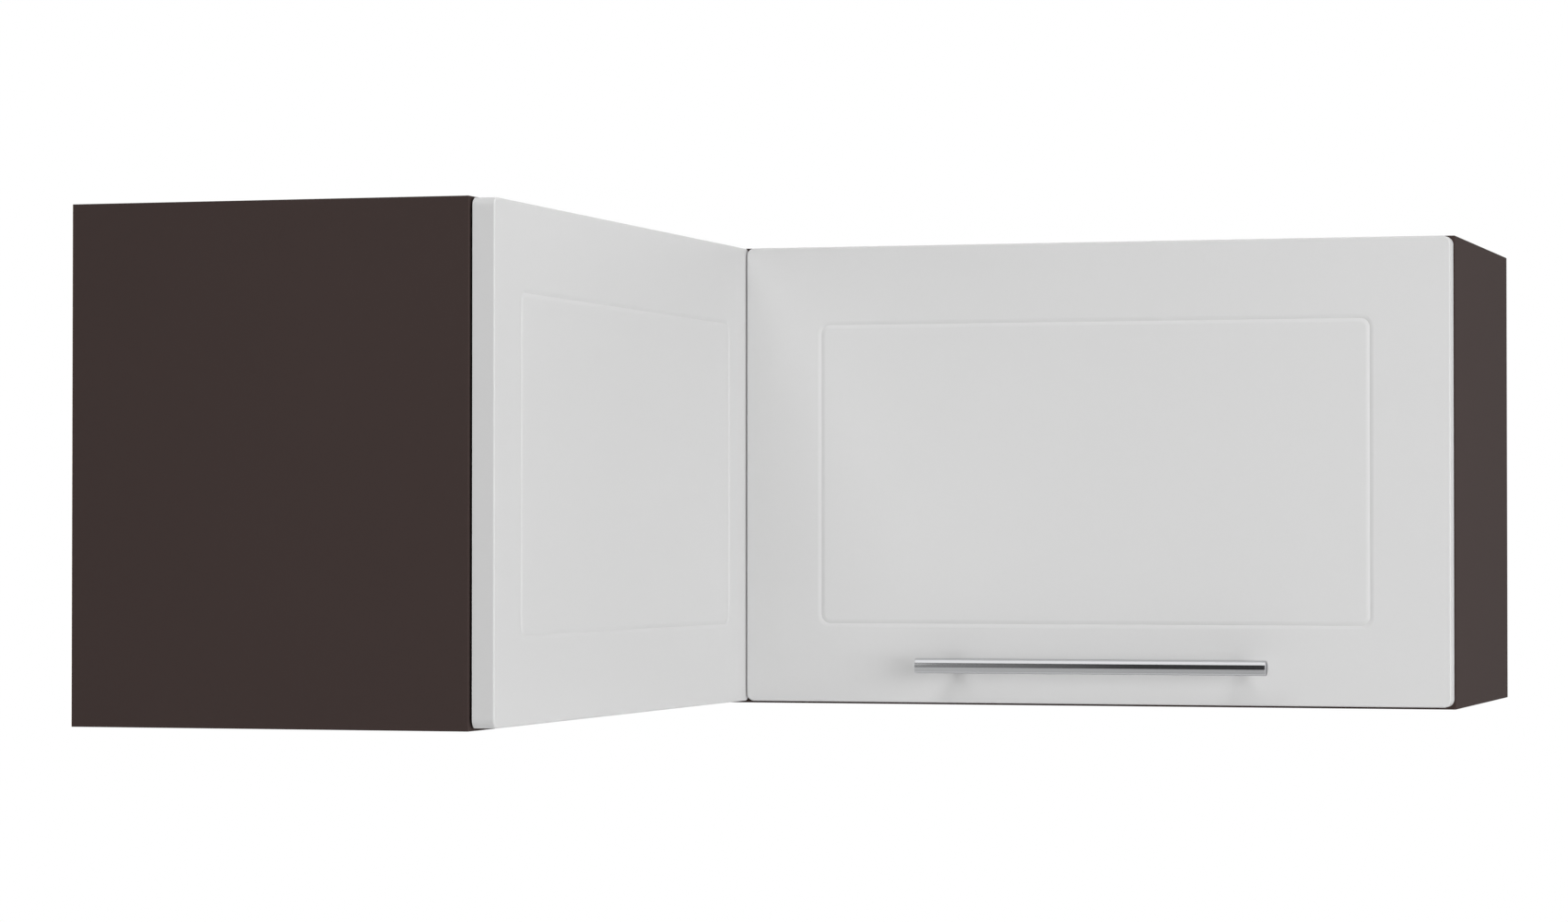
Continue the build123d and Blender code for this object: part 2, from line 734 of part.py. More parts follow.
half_link = link_width / 2
ear_inner = half_link + side_play
ear_outer = ear_inner + ear_thickness
cheek_outer = ear_inner + arm_wall
knee_share = (
    link_root[0] + link_knee * (link_tip[0] - link_root[0]),
    link_root[1] + link_knee * (link_tip[1] - link_root[1]),
)
link_length = hypot(link_tip[0] - link_root[0], link_tip[1] - link_root[1])
knee = (
    knee_share[0] - link_bulge * (link_tip[1] - link_root[1]) / link_length,
    knee_share[1] + link_bulge * (link_tip[0] - link_root[0]) / link_length,
)
arm_low = top_under - arm_drop
arm_rear_y = front_y + arm_reach
arm_knee_y = front_y + arm_knee
boss_low = top_under - plate_thickness - boss_height

for side, hx in hinge_x.items():
    # Cup: pressed steel, let into the flap, with two ears that carry the link's pin.
    with BuildPart() as cup:
        bar((hx, -front_back, cup_z), (0, -1, 0), cup_radius, cup_depth)
        with BuildSketch(Plane(origin=(hx, -front_back, flange_z), x_dir=(1, 0, 0), z_dir=(0, 1, 0))):
            RectangleRounded(flange_length, flange_width, flange_corner_radius)
        extrude(amount=flange_thickness)
        bar((hx, -front_back, cup_z), (0, 1, 0), cup_radius + flange_rim, flange_thickness)
        mouth_y = -front_back + flange_thickness
        hollow = cup_radius - cup_wall
        full_depth = cup_depth + flange_thickness
        bar((hx, mouth_y, cup_z), (0, -1, 0), hollow, full_depth - cup_wall, Mode.SUBTRACT)
        for s in (-1, 1):
            x = hx + s * cup_screw_pitch / 2
            screw_hole((x, mouth_y, flange_z), (0, -1, 0), flange_thickness)
    with BuildPart() as ears:
        for s in (-1, 1):
            x0, x1 = hx + s * ear_inner, hx + s * ear_outer
            y0, y1 = link_tip[0] - ear_radius, link_tip[0] + ear_radius
            block(x0, x1, y0, y1, link_tip[1], cup_z + cup_radius)
            bar((min(x0, x1), link_tip[0], link_tip[1]), (1, 0, 0), ear_radius, ear_thickness)
        bar((hx, mouth_y, cup_z), (0, -1, 0), hollow + fit_play, full_depth, Mode.INTERSECT)
        bar(
            (hx - cup_radius, link_tip[0], link_tip[1]),
            (1, 0, 0),
            pin_radius + fit_play,
            2 * cup_radius,
            Mode.SUBTRACT,
        )
    with BuildPart() as hinge_cup:
        add(cup.part)
        add(ears.part)
    save(hinge_cup, f"hinge_{side}_cup")

    # Link: one bent steel plate with a rolled eye at each end.
    with BuildPart() as link:
        with BuildSketch(Plane.YZ.offset(hx - half_link)):
            with BuildLine() as spine:
                Polyline(link_root, knee, link_tip)
            trace(spine.line, link_thickness)
            with Locations(link_root, link_tip):
                Circle(link_eye)
            with Locations(link_root, link_tip):
                Circle(pin_radius + fit_play, mode=Mode.SUBTRACT)
        extrude(amount=link_width)
    save(link, f"hinge_{side}_link")

    # Arm: a steel channel clipped over the mounting plate's boss; its nose reaches into the cup.
    cheek = [
        (arm_rear_y, arm_low),
        (arm_knee_y, arm_low),
        (link_root[0] + arm_nose, link_root[1] - arm_nose),
        (link_root[0], link_root[1] - arm_nose),
        (link_root[0], link_root[1] + arm_nose),
        (link_root[0] + arm_nose, link_root[1] + arm_nose),
        (arm_knee_y, top_under - plate_thickness - arm_wall),
        (arm_rear_y, top_under - plate_thickness - arm_wall),
    ]
    with BuildPart() as arm:
        for x0 in (hx - cheek_outer, hx + ear_inner):
            with BuildSketch(Plane.YZ.offset(x0)):
                with BuildLine():
                    Polyline(cheek, close=True)
                make_face()
                with Locations(link_root):
                    Circle(arm_nose)
                with Locations(link_root):
                    Circle(pin_radius + fit_play, mode=Mode.SUBTRACT)
            extrude(amount=arm_wall)
        with BuildSketch(Plane.YZ.offset(hx - cheek_outer)):
            nose_low = arm_low - (arm_knee - arm_wall) * arm_floor_fall
            with BuildLine():
                Polyline(
                    (arm_rear_y, arm_low),
                    (arm_knee_y, arm_low),
                    (front_y + arm_wall, nose_low),
                    (front_y + arm_wall, nose_low + arm_wall),
                    (arm_knee_y, arm_low + arm_wall),
                    (arm_rear_y, arm_low + arm_wall),
                    close=True,
                )
            make_face()
        extrude(amount=2 * cheek_outer)
    save(arm, f"hinge_{side}_arm")

    # Mounting plate: screwed under the top panel, with a boss for the arm.
    with BuildPart() as plate:
        plate_y = front_y + plate_setback
        with BuildSketch(Plane.XY.offset(top_under - plate_thickness)):
            with Locations((hx, plate_y)):
                RectangleRounded(plate_span, plate_wing, plate_corner_radius)
            with Locations(
                (hx - plate_screw_pitch / 2, plate_y), (hx + plate_screw_pitch / 2, plate_y)
            ):
                Circle(wood_screw[0] + fit_play, mode=Mode.SUBTRACT)
        extrude(amount=plate_thickness)
        boss_x = (hx - boss_width / 2, hx + boss_width / 2)
        boss_y = (plate_y - boss_length / 2, plate_y + boss_length / 2)
        block(*boss_x, *boss_y, boss_low, top_under)
    save(plate, f"hinge_{side}_plate")

with BuildPart() as hinge_cup_pins:
    for hx in hinge_x.values():
        bar((hx - ear_outer, link_tip[0], link_tip[1]), (1, 0, 0), pin_radius, 2 * ear_outer)
save(hinge_cup_pins, "hinge_cup_pins")

with BuildPart() as hinge_arm_pins:
    for hx in hinge_x.values():
        bar((hx - cheek_outer, link_root[0], link_root[1]), (1, 0, 0), pin_radius, 2 * cheek_outer)
save(hinge_arm_pins, "hinge_arm_pins")

with BuildPart() as hinge_cup_screws:
    for hx in hinge_x.values():
        for s in (-1, 1):
            x = hx + s * cup_screw_pitch / 2
            length = wood_screw_bite + flange_thickness - screw_tip_play
            screw((x, -front_back + flange_thickness, flange_z), (0, -1, 0), wood_screw, length)
save(hinge_cup_screws, "hinge_cup_screws")

with BuildPart() as hinge_plate_screws:
    for hx in hinge_x.values():
        for s in (-1, 1):
            x = hx + s * plate_screw_pitch / 2
            length = wood_screw_bite + plate_thickness - screw_tip_play
            screw((x, front_y + plate_setback, top_under - plate_thickness), (0, 0, 1), wood_screw, length)
save(hinge_plate_screws, "hinge_plate_screws")

# --- Gas strut ------------------------------------------------------------------------------------


def on_strut(distance):
    """A point on the strut's axis, measured from its lower pivot."""
    return (strut_x, strut_foot[0] + distance * strut_axis[1], strut_foot[1] + distance * strut_axis[2])


strut_back = tuple(-d for d in strut_axis)
bracket_face = right_inner - strut_bracket_thickness
pin_start = strut_x - socket_width / 2 - strut_pin_end

with BuildPart() as strut_side_bracket:
    with BuildSketch(Plane(origin=(bracket_face, *strut_foot), x_dir=(0, 1, 0), z_dir=(1, 0, 0))):
        RectangleRounded(strut_bracket_width, strut_bracket_height, strut_bracket_corner_radius)
        with Locations((0, -plate_screw_pitch / 2), (0, plate_screw_pitch / 2)):
            Circle(wood_screw[0] + fit_play, mode=Mode.SUBTRACT)
    extrude(amount=strut_bracket_thickness)
save(strut_side_bracket, "strut_side_bracket")

with BuildPart() as strut_foot_pin:
    bar((pin_start, *strut_foot), (1, 0, 0), strut_pin_radius, bracket_face - pin_start)
    collar = strut_x + socket_width / 2 + side_play
    bar((collar, *strut_foot), (1, 0, 0), strut_collar_radius, bracket_face - collar)
save(strut_foot_pin, "strut_foot_pin")

with BuildPart() as strut_foot_socket:
    bar((strut_x - socket_width / 2, *strut_foot), (1, 0, 0), socket_radius, socket_width)
    bar(on_strut(0), strut_axis, foot_neck_radius, socket_neck)
    bar(
        (strut_x - socket_width / 2, *strut_foot),
        (1, 0, 0),
        strut_pin_radius + fit_play,
        socket_width,
        Mode.SUBTRACT,
    )
save(strut_foot_socket, "strut_foot_socket")

cylinder_end = socket_neck + cylinder_length

with BuildPart() as strut_cylinder:
    bar(on_strut(socket_neck), strut_axis, cylinder_radius, cylinder_length)
    inside = cylinder_radius - cylinder_wall
    floor_at = on_strut(socket_neck + cylinder_floor)
    bar(floor_at, strut_axis, inside, cylinder_length - cylinder_floor, Mode.SUBTRACT)
    circles = strut_cylinder.edges().filter_by(GeomType.CIRCLE)
    fillet(circles.group_by(Axis((0, 0, 0), strut_axis))[0], cylinder_end_radius)
save(strut_cylinder, "strut_cylinder")

with BuildPart() as strut_gland:
    start = on_strut(cylinder_end - gland_length)
    bar(start, strut_axis, cylinder_radius - cylinder_wall - fit_play, gland_length)
    bar(start, strut_axis, rod_radius + fit_play, gland_length, Mode.SUBTRACT)
save(strut_gland, "strut_gland")

with BuildPart() as strut_piston:
    piston_radius = cylinder_radius - cylinder_wall - fit_play
    bar(on_strut(rod_start - piston_length), strut_axis, piston_radius, piston_length)
save(strut_piston, "strut_piston")

with BuildPart() as strut_rod:
    bar(on_strut(rod_start), strut_axis, rod_radius, strut_rest_length - rod_end - rod_start)
save(strut_rod, "strut_rod")

with BuildPart() as strut_head_socket:
    head_low = (strut_x - socket_width / 2, *strut_head)
    bar(head_low, (1, 0, 0), socket_radius, socket_width)
    bar(on_strut(strut_rest_length), strut_back, socket_neck_radius, socket_neck)
    rod_tip = on_strut(strut_rest_length - rod_end)
    bar(rod_tip, strut_back, rod_radius + fit_play, socket_neck, Mode.SUBTRACT)
    # The stud that sits in the socket; it stands clear of the flap's bracket.
    bar(head_low, (1, 0, 0), strut_collar_radius, socket_width + strut_bracket_thickness)
save(strut_head_socket, "strut_head_socket")

with BuildPart() as strut_flap_bracket:
    with BuildSketch(Plane.YZ.offset(strut_ear_x)):
        with BuildLine():
            low = strut_head[1] - strut_flap_bracket_height / 2
            high = strut_head[1] + strut_flap_bracket_height / 2
            Polyline(
                (-front_back, low),
                (-front_back, high),
                (-front_back + strut_bracket_thickness, high),
                (strut_head[0], strut_head[1] + strut_ear_radius),
                (strut_head[0], strut_head[1] - strut_ear_radius),
                (-front_back + strut_bracket_thickness, low),
                close=True,
            )
        make_face()
        with Locations(strut_head):
            Circle(strut_ear_radius)
    extrude(amount=strut_bracket_thickness)
    block(
        strut_ear_x,
        strut_ear_x + strut_flap_bracket_width,
        -front_back,
        -front_back + strut_bracket_thickness,
        low,
        high,
    )
    for z in strut_screw_heights:
        screw_hole((strut_screw_x, -front_back, z), (0, 1, 0), strut_bracket_thickness)
save(strut_flap_bracket, "strut_flap_bracket")

with BuildPart() as strut_side_screws:
    for s in (-1, 1):
        start = (bracket_face, strut_foot[0], strut_foot_height + s * plate_screw_pitch / 2)
        screw(start, (1, 0, 0), wood_screw, wood_screw_bite + strut_bracket_thickness - screw_tip_play)
save(strut_side_screws, "strut_side_screws")

with BuildPart() as strut_flap_screws:
    for z in strut_screw_heights:
        start = (strut_screw_x, -front_back + strut_bracket_thickness, z)
        screw(start, (0, -1, 0), wood_screw, wood_screw_bite + strut_bracket_thickness - screw_tip_play)
save(strut_flap_screws, "strut_flap_screws")

# --- Hangers and wall plates ----------------------------------------------------------------------

hook_low_side = hook_offset - hook_thickness / 2
hook_high_side = hook_offset + hook_thickness / 2
adjuster_heights = (hook_bottom - adjuster_low, hook_top - adjuster_high)

for name, (face, away, room) in hangers.items():
    side_plane = hanger_plane(face, away, room)
    inwards = tuple(-d for d in away)

    with BuildPart() as housing:
        low, high = housing_bottom, top_under - hanger_top
        profile(
            side_plane,
            [(hanger_start, low), (hanger_end, low), (hanger_end, high), (hanger_start, high)],
            0,
            hanger_thickness,
        )
        outer_face = housing.faces().sort_by(Axis(face, away))[-1]
        fillet(outer_face.edges(), hanger_edge_radius)
        slot = [(hanger_start, hook_bottom - side_play), (hanger_slot_end, hook_bottom - side_play)]
        slot += [(hanger_slot_end, hook_top + side_play), (hanger_start, hook_top + side_play)]
        slot_sides = (hook_low_side - hook_side_play, hook_high_side + hook_side_play)
        profile(side_plane, slot, *slot_sides, Mode.SUBTRACT)
        for u in hanger_screw_places:
            at = along((face[0], face[1], hanger_screw_z), ((u, room), (hanger_thickness, away)))
            screw_hole(at, inwards, hanger_thickness)
            counterbore_depth = wood_screw[2] + counterbore_sink
            bar(at, inwards, wood_screw[1] + counterbore_play, counterbore_depth, Mode.SUBTRACT)
        for z in adjuster_heights:
            at = along((face[0], face[1], z), ((hanger_end, room), (hook_offset, away)))
            back = tuple(-d for d in room)
            bar(at, back, adjuster_screw[0] + fit_play, adjuster_length, Mode.SUBTRACT)
    save(housing, f"hanger_{name}_housing")

    with BuildPart() as hook:
        hook_points = [
            (hook_tip, hook_bottom),
            (hook_tip, hook_top),
            (hook_end, hook_top),
            (hook_end, hook_bottom),
            (hook_notch[1], hook_bottom),
            (hook_notch[1], notch_top),
            (hook_notch[0], notch_top),
            (hook_notch[0], hook_bottom),
        ]
        profile(side_plane, hook_points, hook_low_side, hook_high_side)
    save(hook, f"hanger_{name}_hook")

with BuildPart() as hanger_screws:
    for face, away, room in hangers.values():
        inwards = tuple(-d for d in away)
        for u in hanger_screw_places:
            seat = hanger_thickness - wood_screw[2] - counterbore_sink
            at = along((face[0], face[1], hanger_screw_z), ((u, room), (seat, away)))
            screw(at, inwards, wood_screw, seat + wood_screw_bite - screw_tip_play)
save(hanger_screws, "hanger_screws")

with BuildPart() as hanger_adjusters:
    for face, away, room in hangers.values():
        back = tuple(-d for d in room)
        for z in adjuster_heights:
            at = along((face[0], face[1], z), ((hanger_end, room), (hook_offset, away)))
            screw(at, back, adjuster_screw, adjuster_length - screw_tip_play)
save(hanger_adjusters, "hanger_adjusters")

with BuildPart() as wall_plates:
    step_low = plate_bottom + wall_plate_step
    step_high = step_low + plate_lip[1] - wall_plate_thickness
    plate_points = [
        (0, plate_bottom),
        (wall_plate_thickness, plate_bottom),
        (wall_plate_thickness, step_low),
        (plate_lip[1], step_high),
        (plate_lip[1], plate_top),
        (plate_lip[0], plate_top),
        (plate_lip[0], step_high + plate_step_rise),
        (0, step_low + plate_step_rise),
    ]
    plate_middle = wall_plate_start + wall_plate_width / 2
    for face, away, room in hangers.values():
        side_plane = hanger_plane(face, away, room)
        profile(side_plane, plate_points, wall_plate_start, wall_plate_start + wall_plate_width)
        for s in (-1, 1):
            low = (face[0], face[1], plate_bottom + wall_screw_height)
            at = along(low, ((plate_middle + s * fitting_pitch / 2, away),))
            bar(at, room, wall_screw_radius, wall_plate_thickness, Mode.SUBTRACT)
save(wall_plates, "wall_plates")
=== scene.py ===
import math

import bmesh
import bpy
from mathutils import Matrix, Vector


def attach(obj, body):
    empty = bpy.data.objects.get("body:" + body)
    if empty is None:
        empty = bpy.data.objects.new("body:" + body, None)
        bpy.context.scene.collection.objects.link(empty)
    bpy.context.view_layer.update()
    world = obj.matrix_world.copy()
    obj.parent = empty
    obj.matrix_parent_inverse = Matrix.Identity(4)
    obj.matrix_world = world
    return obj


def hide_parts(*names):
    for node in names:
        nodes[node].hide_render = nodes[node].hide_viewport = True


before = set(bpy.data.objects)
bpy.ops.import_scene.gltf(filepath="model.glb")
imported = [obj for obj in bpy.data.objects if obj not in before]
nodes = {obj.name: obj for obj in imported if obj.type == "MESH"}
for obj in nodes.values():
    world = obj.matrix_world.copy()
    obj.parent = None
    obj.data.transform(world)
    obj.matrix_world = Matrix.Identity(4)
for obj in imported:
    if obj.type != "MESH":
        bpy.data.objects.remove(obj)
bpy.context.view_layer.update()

# --- Camera ---------------------------------------------------------------------------------------
# The cabinet is seen from the open side of the corner, through a long lens held level with its lower third
# and tipped up by one degree. It has no shift.
CAMERA_PLACE = (1.3774, -3.8026, 0.1275)
CAMERA_PITCH_DEG = 0.997
CAMERA_YAW_DEG = 16.529
LENS_MM = 106.226
SENSOR_MM = 36.0

lens = bpy.data.cameras.new("camera")
lens.sensor_width = SENSOR_MM
lens.lens = LENS_MM
camera = bpy.data.objects.new("camera", lens)
camera.location = CAMERA_PLACE
camera.rotation_euler = (math.radians(90 + CAMERA_PITCH_DEG), 0, math.radians(CAMERA_YAW_DEG))
bpy.context.scene.collection.objects.link(camera)
bpy.context.scene.camera = camera
bpy.context.scene.view_settings.view_transform = "Standard"

# --- Studio surround ------------------------------------------------------------------------------
# A white surround that is seen as white, directly and in reflections, and that adds a weak, even light from
# all sides.
SURROUND_LIGHT = 0.18


def seen_directly(tree):
    """1 where a surface or the sky is seen by the camera, in a mirror or through glass, else 0."""
    ray = tree.nodes.new("ShaderNodeLightPath")
    seen = ray.outputs["Is Camera Ray"]
    for kind in ("Is Glossy Ray", "Is Transmission Ray"):
        either = tree.nodes.new("ShaderNodeMath")
        either.operation = "MAXIMUM"
        tree.links.new(seen, either.inputs[0])
        tree.links.new(ray.outputs[kind], either.inputs[1])
        seen = either.outputs[0]
    return seen


surround = bpy.data.worlds.new("studio_surround")
surround.use_nodes = True
bpy.context.scene.world = surround
background = surround.node_tree.nodes["Background"]
background.inputs["Color"].default_value = (1, 1, 1, 1)
brightness = surround.node_tree.nodes.new("ShaderNodeMapRange")
brightness.inputs["To Min"].default_value = SURROUND_LIGHT
brightness.inputs["To Max"].default_value = 1.0
surround.node_tree.links.new(seen_directly(surround.node_tree), brightness.inputs["Value"])
surround.node_tree.links.new(brightness.outputs["Result"], background.inputs["Strength"])

# --- Studio floor ---------------------------------------------------------------------------------
# A pale painted floor, as far under the cabinet as a kitchen floor. It keeps the cabinet's shadow, turns
# white with distance, and can be looked through from below.
FLOOR_DROP = 1.45
FLOOR_SIZE = 24.0
FLOOR_TINT = (0.84, 0.84, 0.84, 1)
FADE_START = 1.5
FADE_END = 8.0
PAINT_ROUGHNESS = 0.9
PAINT_SPECULAR = 0.1

bpy.ops.mesh.primitive_plane_add(size=FLOOR_SIZE, location=(0, 0, -FLOOR_DROP))
floor = bpy.context.object
floor.name = "studio_floor"
paint = bpy.data.materials.new("floor_paint")
paint.use_nodes = True
tree = paint.node_tree
matt = tree.nodes["Principled BSDF"]
matt.inputs["Base Color"].default_value = FLOOR_TINT
matt.inputs["Roughness"].default_value = PAINT_ROUGHNESS
matt.inputs["Specular IOR Level"].default_value = PAINT_SPECULAR
white = tree.nodes.new("ShaderNodeEmission")
clear = tree.nodes.new("ShaderNodeBsdfTransparent")
spot = tree.nodes.new("ShaderNodeTexCoord")
reach = tree.nodes.new("ShaderNodeVectorMath")
reach.operation = "LENGTH"
fade = tree.nodes.new("ShaderNodeMapRange")
fade.interpolation_type = "SMOOTHSTEP"
fade.inputs["From Min"].default_value = FADE_START
fade.inputs["From Max"].default_value = FADE_END
faded = tree.nodes.new("ShaderNodeMath")
faded.operation = "MULTIPLY"
side = tree.nodes.new("ShaderNodeNewGeometry")
far_mix = tree.nodes.new("ShaderNodeMixShader")
under_mix = tree.nodes.new("ShaderNodeMixShader")
tree.links.new(spot.outputs["Object"], reach.inputs[0])
tree.links.new(reach.outputs["Value"], fade.inputs["Value"])
tree.links.new(fade.outputs["Result"], faded.inputs[0])
tree.links.new(seen_directly(tree), faded.inputs[1])
tree.links.new(faded.outputs[0], far_mix.inputs["Fac"])
tree.links.new(matt.outputs["BSDF"], far_mix.inputs[1])
tree.links.new(white.outputs["Emission"], far_mix.inputs[2])
tree.links.new(side.outputs["Backfacing"], under_mix.inputs["Fac"])
tree.links.new(far_mix.outputs["Shader"], under_mix.inputs[1])
tree.links.new(clear.outputs["BSDF"], under_mix.inputs[2])
tree.links.new(under_mix.outputs["Shader"], tree.nodes["Material Output"].inputs["Surface"])
floor.data.materials.append(paint)

# --- Studio lamps ---------------------------------------------------------------------------------
# Wide softboxes. The main one looks into the open corner, so that both fronts are lit alike. One hangs
# overhead, so that the frame grooves show a dark upper and a light lower side. One stands high on the left
# for the handle's soft shadow, and the last one lights the back.
LAMPS = {
    "corner_softbox": {"place": (4.0, -3.15, 0.3), "size": (3.6, 2.2), "watts": 146.0},
    "top_softbox": {"place": (1.6, -1.75, 4.2), "size": (2.4, 2.4), "watts": 83.0},
    "left_softbox": {"place": (-0.9, -3.9, 4.2), "size": (2.0, 2.0), "watts": 61.0},
    "rear_softbox": {"place": (-2.6, 3.2, 2.4), "size": (3.6, 3.6), "watts": 160.0},
}
LAMP_TARGET = Vector((0.45, -0.35, 0.18))

for name, make in LAMPS.items():
    softbox = bpy.data.lights.new(name, "AREA")
    softbox.shape = "RECTANGLE"
    softbox.size, softbox.size_y = make["size"]
    softbox.energy = make["watts"]
    lamp = bpy.data.objects.new(name, softbox)
    lamp.location = make["place"]
    lamp.visible_camera = False
    lamp.visible_glossy = False
    lamp.visible_transmission = False
    lamp.rotation_euler = (LAMP_TARGET - lamp.location).to_track_quat("-Z", "Y").to_euler()
    bpy.context.scene.collection.objects.link(lamp)

# --- Studio card ----------------------------------------------------------------------------------
# A dark card bent round the handle at arm's length, which only polished metal shows: it gives the bar its
# dark band. It thins out to the left, and its lower part is a lighter grey.
CARD_AXIS = (-0.338, 0.0315)
CARD_RADIUS = 1.3
CARD_LEFT = -0.4
CARD_RIGHT = 2.6
CARD_STEP = 0.05
CARD_TOP_DEG = 47
CARD_DARK_DEG = -22
CARD_BOTTOM_DEG = -100
CARD_THIN_X = 0.03
CARD_FULL_X = 0.34
CARD_THIN_SHARE = 0.6
CARD_FULL_SHARE = 0.96
CARD_LOW_SHARE = 0.42
CARD_BLACK = (0.012, 0.012, 0.013, 1)

columns = round((CARD_RIGHT - CARD_LEFT) / CARD_STEP)
shape = bmesh.new()
share = shape.verts.layers.float.new("share")
rows = []
for angle in range(CARD_BOTTOM_DEG, CARD_TOP_DEG + 1):
    row = []
    for column in range(columns + 1):
        x = CARD_LEFT + column * CARD_STEP
        y = CARD_AXIS[0] - CARD_RADIUS * math.cos(math.radians(angle))
        z = CARD_AXIS[1] + CARD_RADIUS * math.sin(math.radians(angle))
        vert = shape.verts.new((x, y, z))
        along = min(max((x - CARD_THIN_X) / (CARD_FULL_X - CARD_THIN_X), 0), 1)
        vert[share] = CARD_THIN_SHARE + (CARD_FULL_SHARE - CARD_THIN_SHARE) * along
        if angle < CARD_DARK_DEG:
            vert[share] *= CARD_LOW_SHARE
        row.append(vert)
    rows.append(row)
for low, high in zip(rows, rows[1:]):
    for i in range(columns):
        shape.faces.new((low[i], low[i + 1], high[i + 1], high[i]))
card_mesh = bpy.data.meshes.new("studio_card")
shape.to_mesh(card_mesh)
shape.free()
card = bpy.data.objects.new("studio_card", card_mesh)
bpy.context.scene.collection.objects.link(card)
card.visible_camera = False
card.visible_diffuse = False
card.visible_transmission = False
card.visible_shadow = False
felt = bpy.data.materials.new("card_felt")
felt.use_nodes = True
tree = felt.node_tree
dark = tree.nodes["Principled BSDF"]
dark.inputs["Base Color"].default_value = CARD_BLACK
dark.inputs["Roughness"].default_value = 1.0
dark.inputs["Specular IOR Level"].default_value = 0.0
gap = tree.nodes.new("ShaderNodeBsdfTransparent")
cover = tree.nodes.new("ShaderNodeAttribute")
cover.attribute_name = "share"
veil = tree.nodes.new("ShaderNodeMixShader")
tree.links.new(cover.outputs["Fac"], veil.inputs["Fac"])
tree.links.new(gap.outputs["BSDF"], veil.inputs[1])
tree.links.new(dark.outputs["BSDF"], veil.inputs[2])
tree.links.new(veil.outputs["Shader"], tree.nodes["Material Output"].inputs["Surface"])
card.data.materials.append(felt)


# --- Carcass boards -------------------------------------------------------------------------------
# 16 mm chipboard with a dark brown melamine face that has a fine pressed pearl, and the same brown on the
# banded edges. The edges against the two walls are left as sawn chipboard.
def srgb(*levels):
    """Screen levels from 0 to 255 as the linear colour that a shader takes."""
    linear = []
    for level in levels:
        share = level / 255
        linear.append(share / 12.92 if share <= 0.04045 else ((share + 0.055) / 1.055) ** 2.4)
    return tuple(linear)


def join(tree, kind, operation, *inputs):
    """A Math or VectorMath node fed by sockets or plain values."""
    node = tree.nodes.new(kind)
    node.operation = operation
    for socket, value in zip(node.inputs, inputs):
        if isinstance(value, (int, float, tuple)):
            socket.default_value = value
        else:
            tree.links.new(value, socket)
    return node.outputs[0]


# Fine grain: the small unevenness that a press, a mould, a drawing die or a brush leaves, over a slow cloud.
GRAIN_DETAIL = 3.0
CLOUDS_PER_METRE = 9.0

fine_grain = bpy.data.node_groups.new("fine_grain", "ShaderNodeTree")
sockets = fine_grain.interface
sockets.new_socket("Stretch", in_out="INPUT", socket_type="NodeSocketVector").default_value = (1, 1, 1)
sockets.new_socket("Grains per metre", in_out="INPUT", socket_type="NodeSocketFloat").default_value = 1000
sockets.new_socket("Tone change", in_out="INPUT", socket_type="NodeSocketFloat").default_value = 0.05
sockets.new_socket("Tone", in_out="OUTPUT", socket_type="NodeSocketFloat")
sockets.new_socket("Height", in_out="OUTPUT", socket_type="NodeSocketFloat")
put = fine_grain.nodes.new("NodeGroupInput").outputs
out = fine_grain.nodes.new("NodeGroupOutput").inputs
where = fine_grain.nodes.new("ShaderNodeTexCoord").outputs["Object"]
pulled = join(fine_grain, "ShaderNodeVectorMath", "MULTIPLY", where, put["Stretch"])
grain = fine_grain.nodes.new("ShaderNodeTexNoise")
grain.inputs["Detail"].default_value = GRAIN_DETAIL
cloud = fine_grain.nodes.new("ShaderNodeTexNoise")
cloud.inputs["Scale"].default_value = CLOUDS_PER_METRE
fine_grain.links.new(pulled, grain.inputs["Vector"])
fine_grain.links.new(put["Grains per metre"], grain.inputs["Scale"])
fine_grain.links.new(where, cloud.inputs["Vector"])
both = join(fine_grain, "ShaderNodeMath", "ADD", grain.outputs["Fac"], cloud.outputs["Fac"])
centred = join(fine_grain, "ShaderNodeMath", "SUBTRACT", both, 1.0)
swing = join(fine_grain, "ShaderNodeMath", "MULTIPLY", centred, put["Tone change"])
fine_grain.links.new(join(fine_grain, "ShaderNodeMath", "ADD", swing, 1.0), out["Tone"])
fine_grain.links.new(grain.outputs["Fac"], out["Height"])


def finish(name, colour, roughness, grains, tone_change, height_mm, stretch=(1, 1, 1), **sockets):
    """A material whose colour, gloss and relief carry the fine grain."""
    made = bpy.data.materials.new(name)
    made.use_nodes = True
    tree = made.node_tree
    shader = tree.nodes["Principled BSDF"]
    for socket, value in sockets.items():
        shader.inputs[socket.replace("_", " ")].default_value = value
    grain = tree.nodes.new("ShaderNodeGroup")
    grain.name = "fine_grain"
    grain.node_tree = fine_grain
    grain.inputs["Stretch"].default_value = stretch
    grain.inputs["Grains per metre"].default_value = grains
    grain.inputs["Tone change"].default_value = tone_change
    tint = tree.nodes.new("ShaderNodeVectorMath")
    tint.name = "tint"
    tint.operation = "SCALE"
    tint.inputs[0].default_value = srgb(*colour)
    tree.links.new(grain.outputs["Tone"], tint.inputs["Scale"])
    tree.links.new(tint.outputs[0], shader.inputs["Base Color"])
    gloss = join(tree, "ShaderNodeMath", "MULTIPLY", grain.outputs["Tone"], roughness)
    tree.links.new(gloss, shader.inputs["Roughness"])
    relief = tree.nodes.new("ShaderNodeBump")
    relief.name = "relief"
    relief.inputs["Distance"].default_value = height_mm / 1000
    tree.links.new(grain.outputs["Height"], relief.inputs["Height"])
    tree.links.new(relief.outputs["Normal"], shader.inputs["Normal"])
    return made


def coat(material, *names):
    """Give carried-over pieces their finish."""
    for name in names:
        nodes[name].data.materials.clear()
        nodes[name].data.materials.append(material)


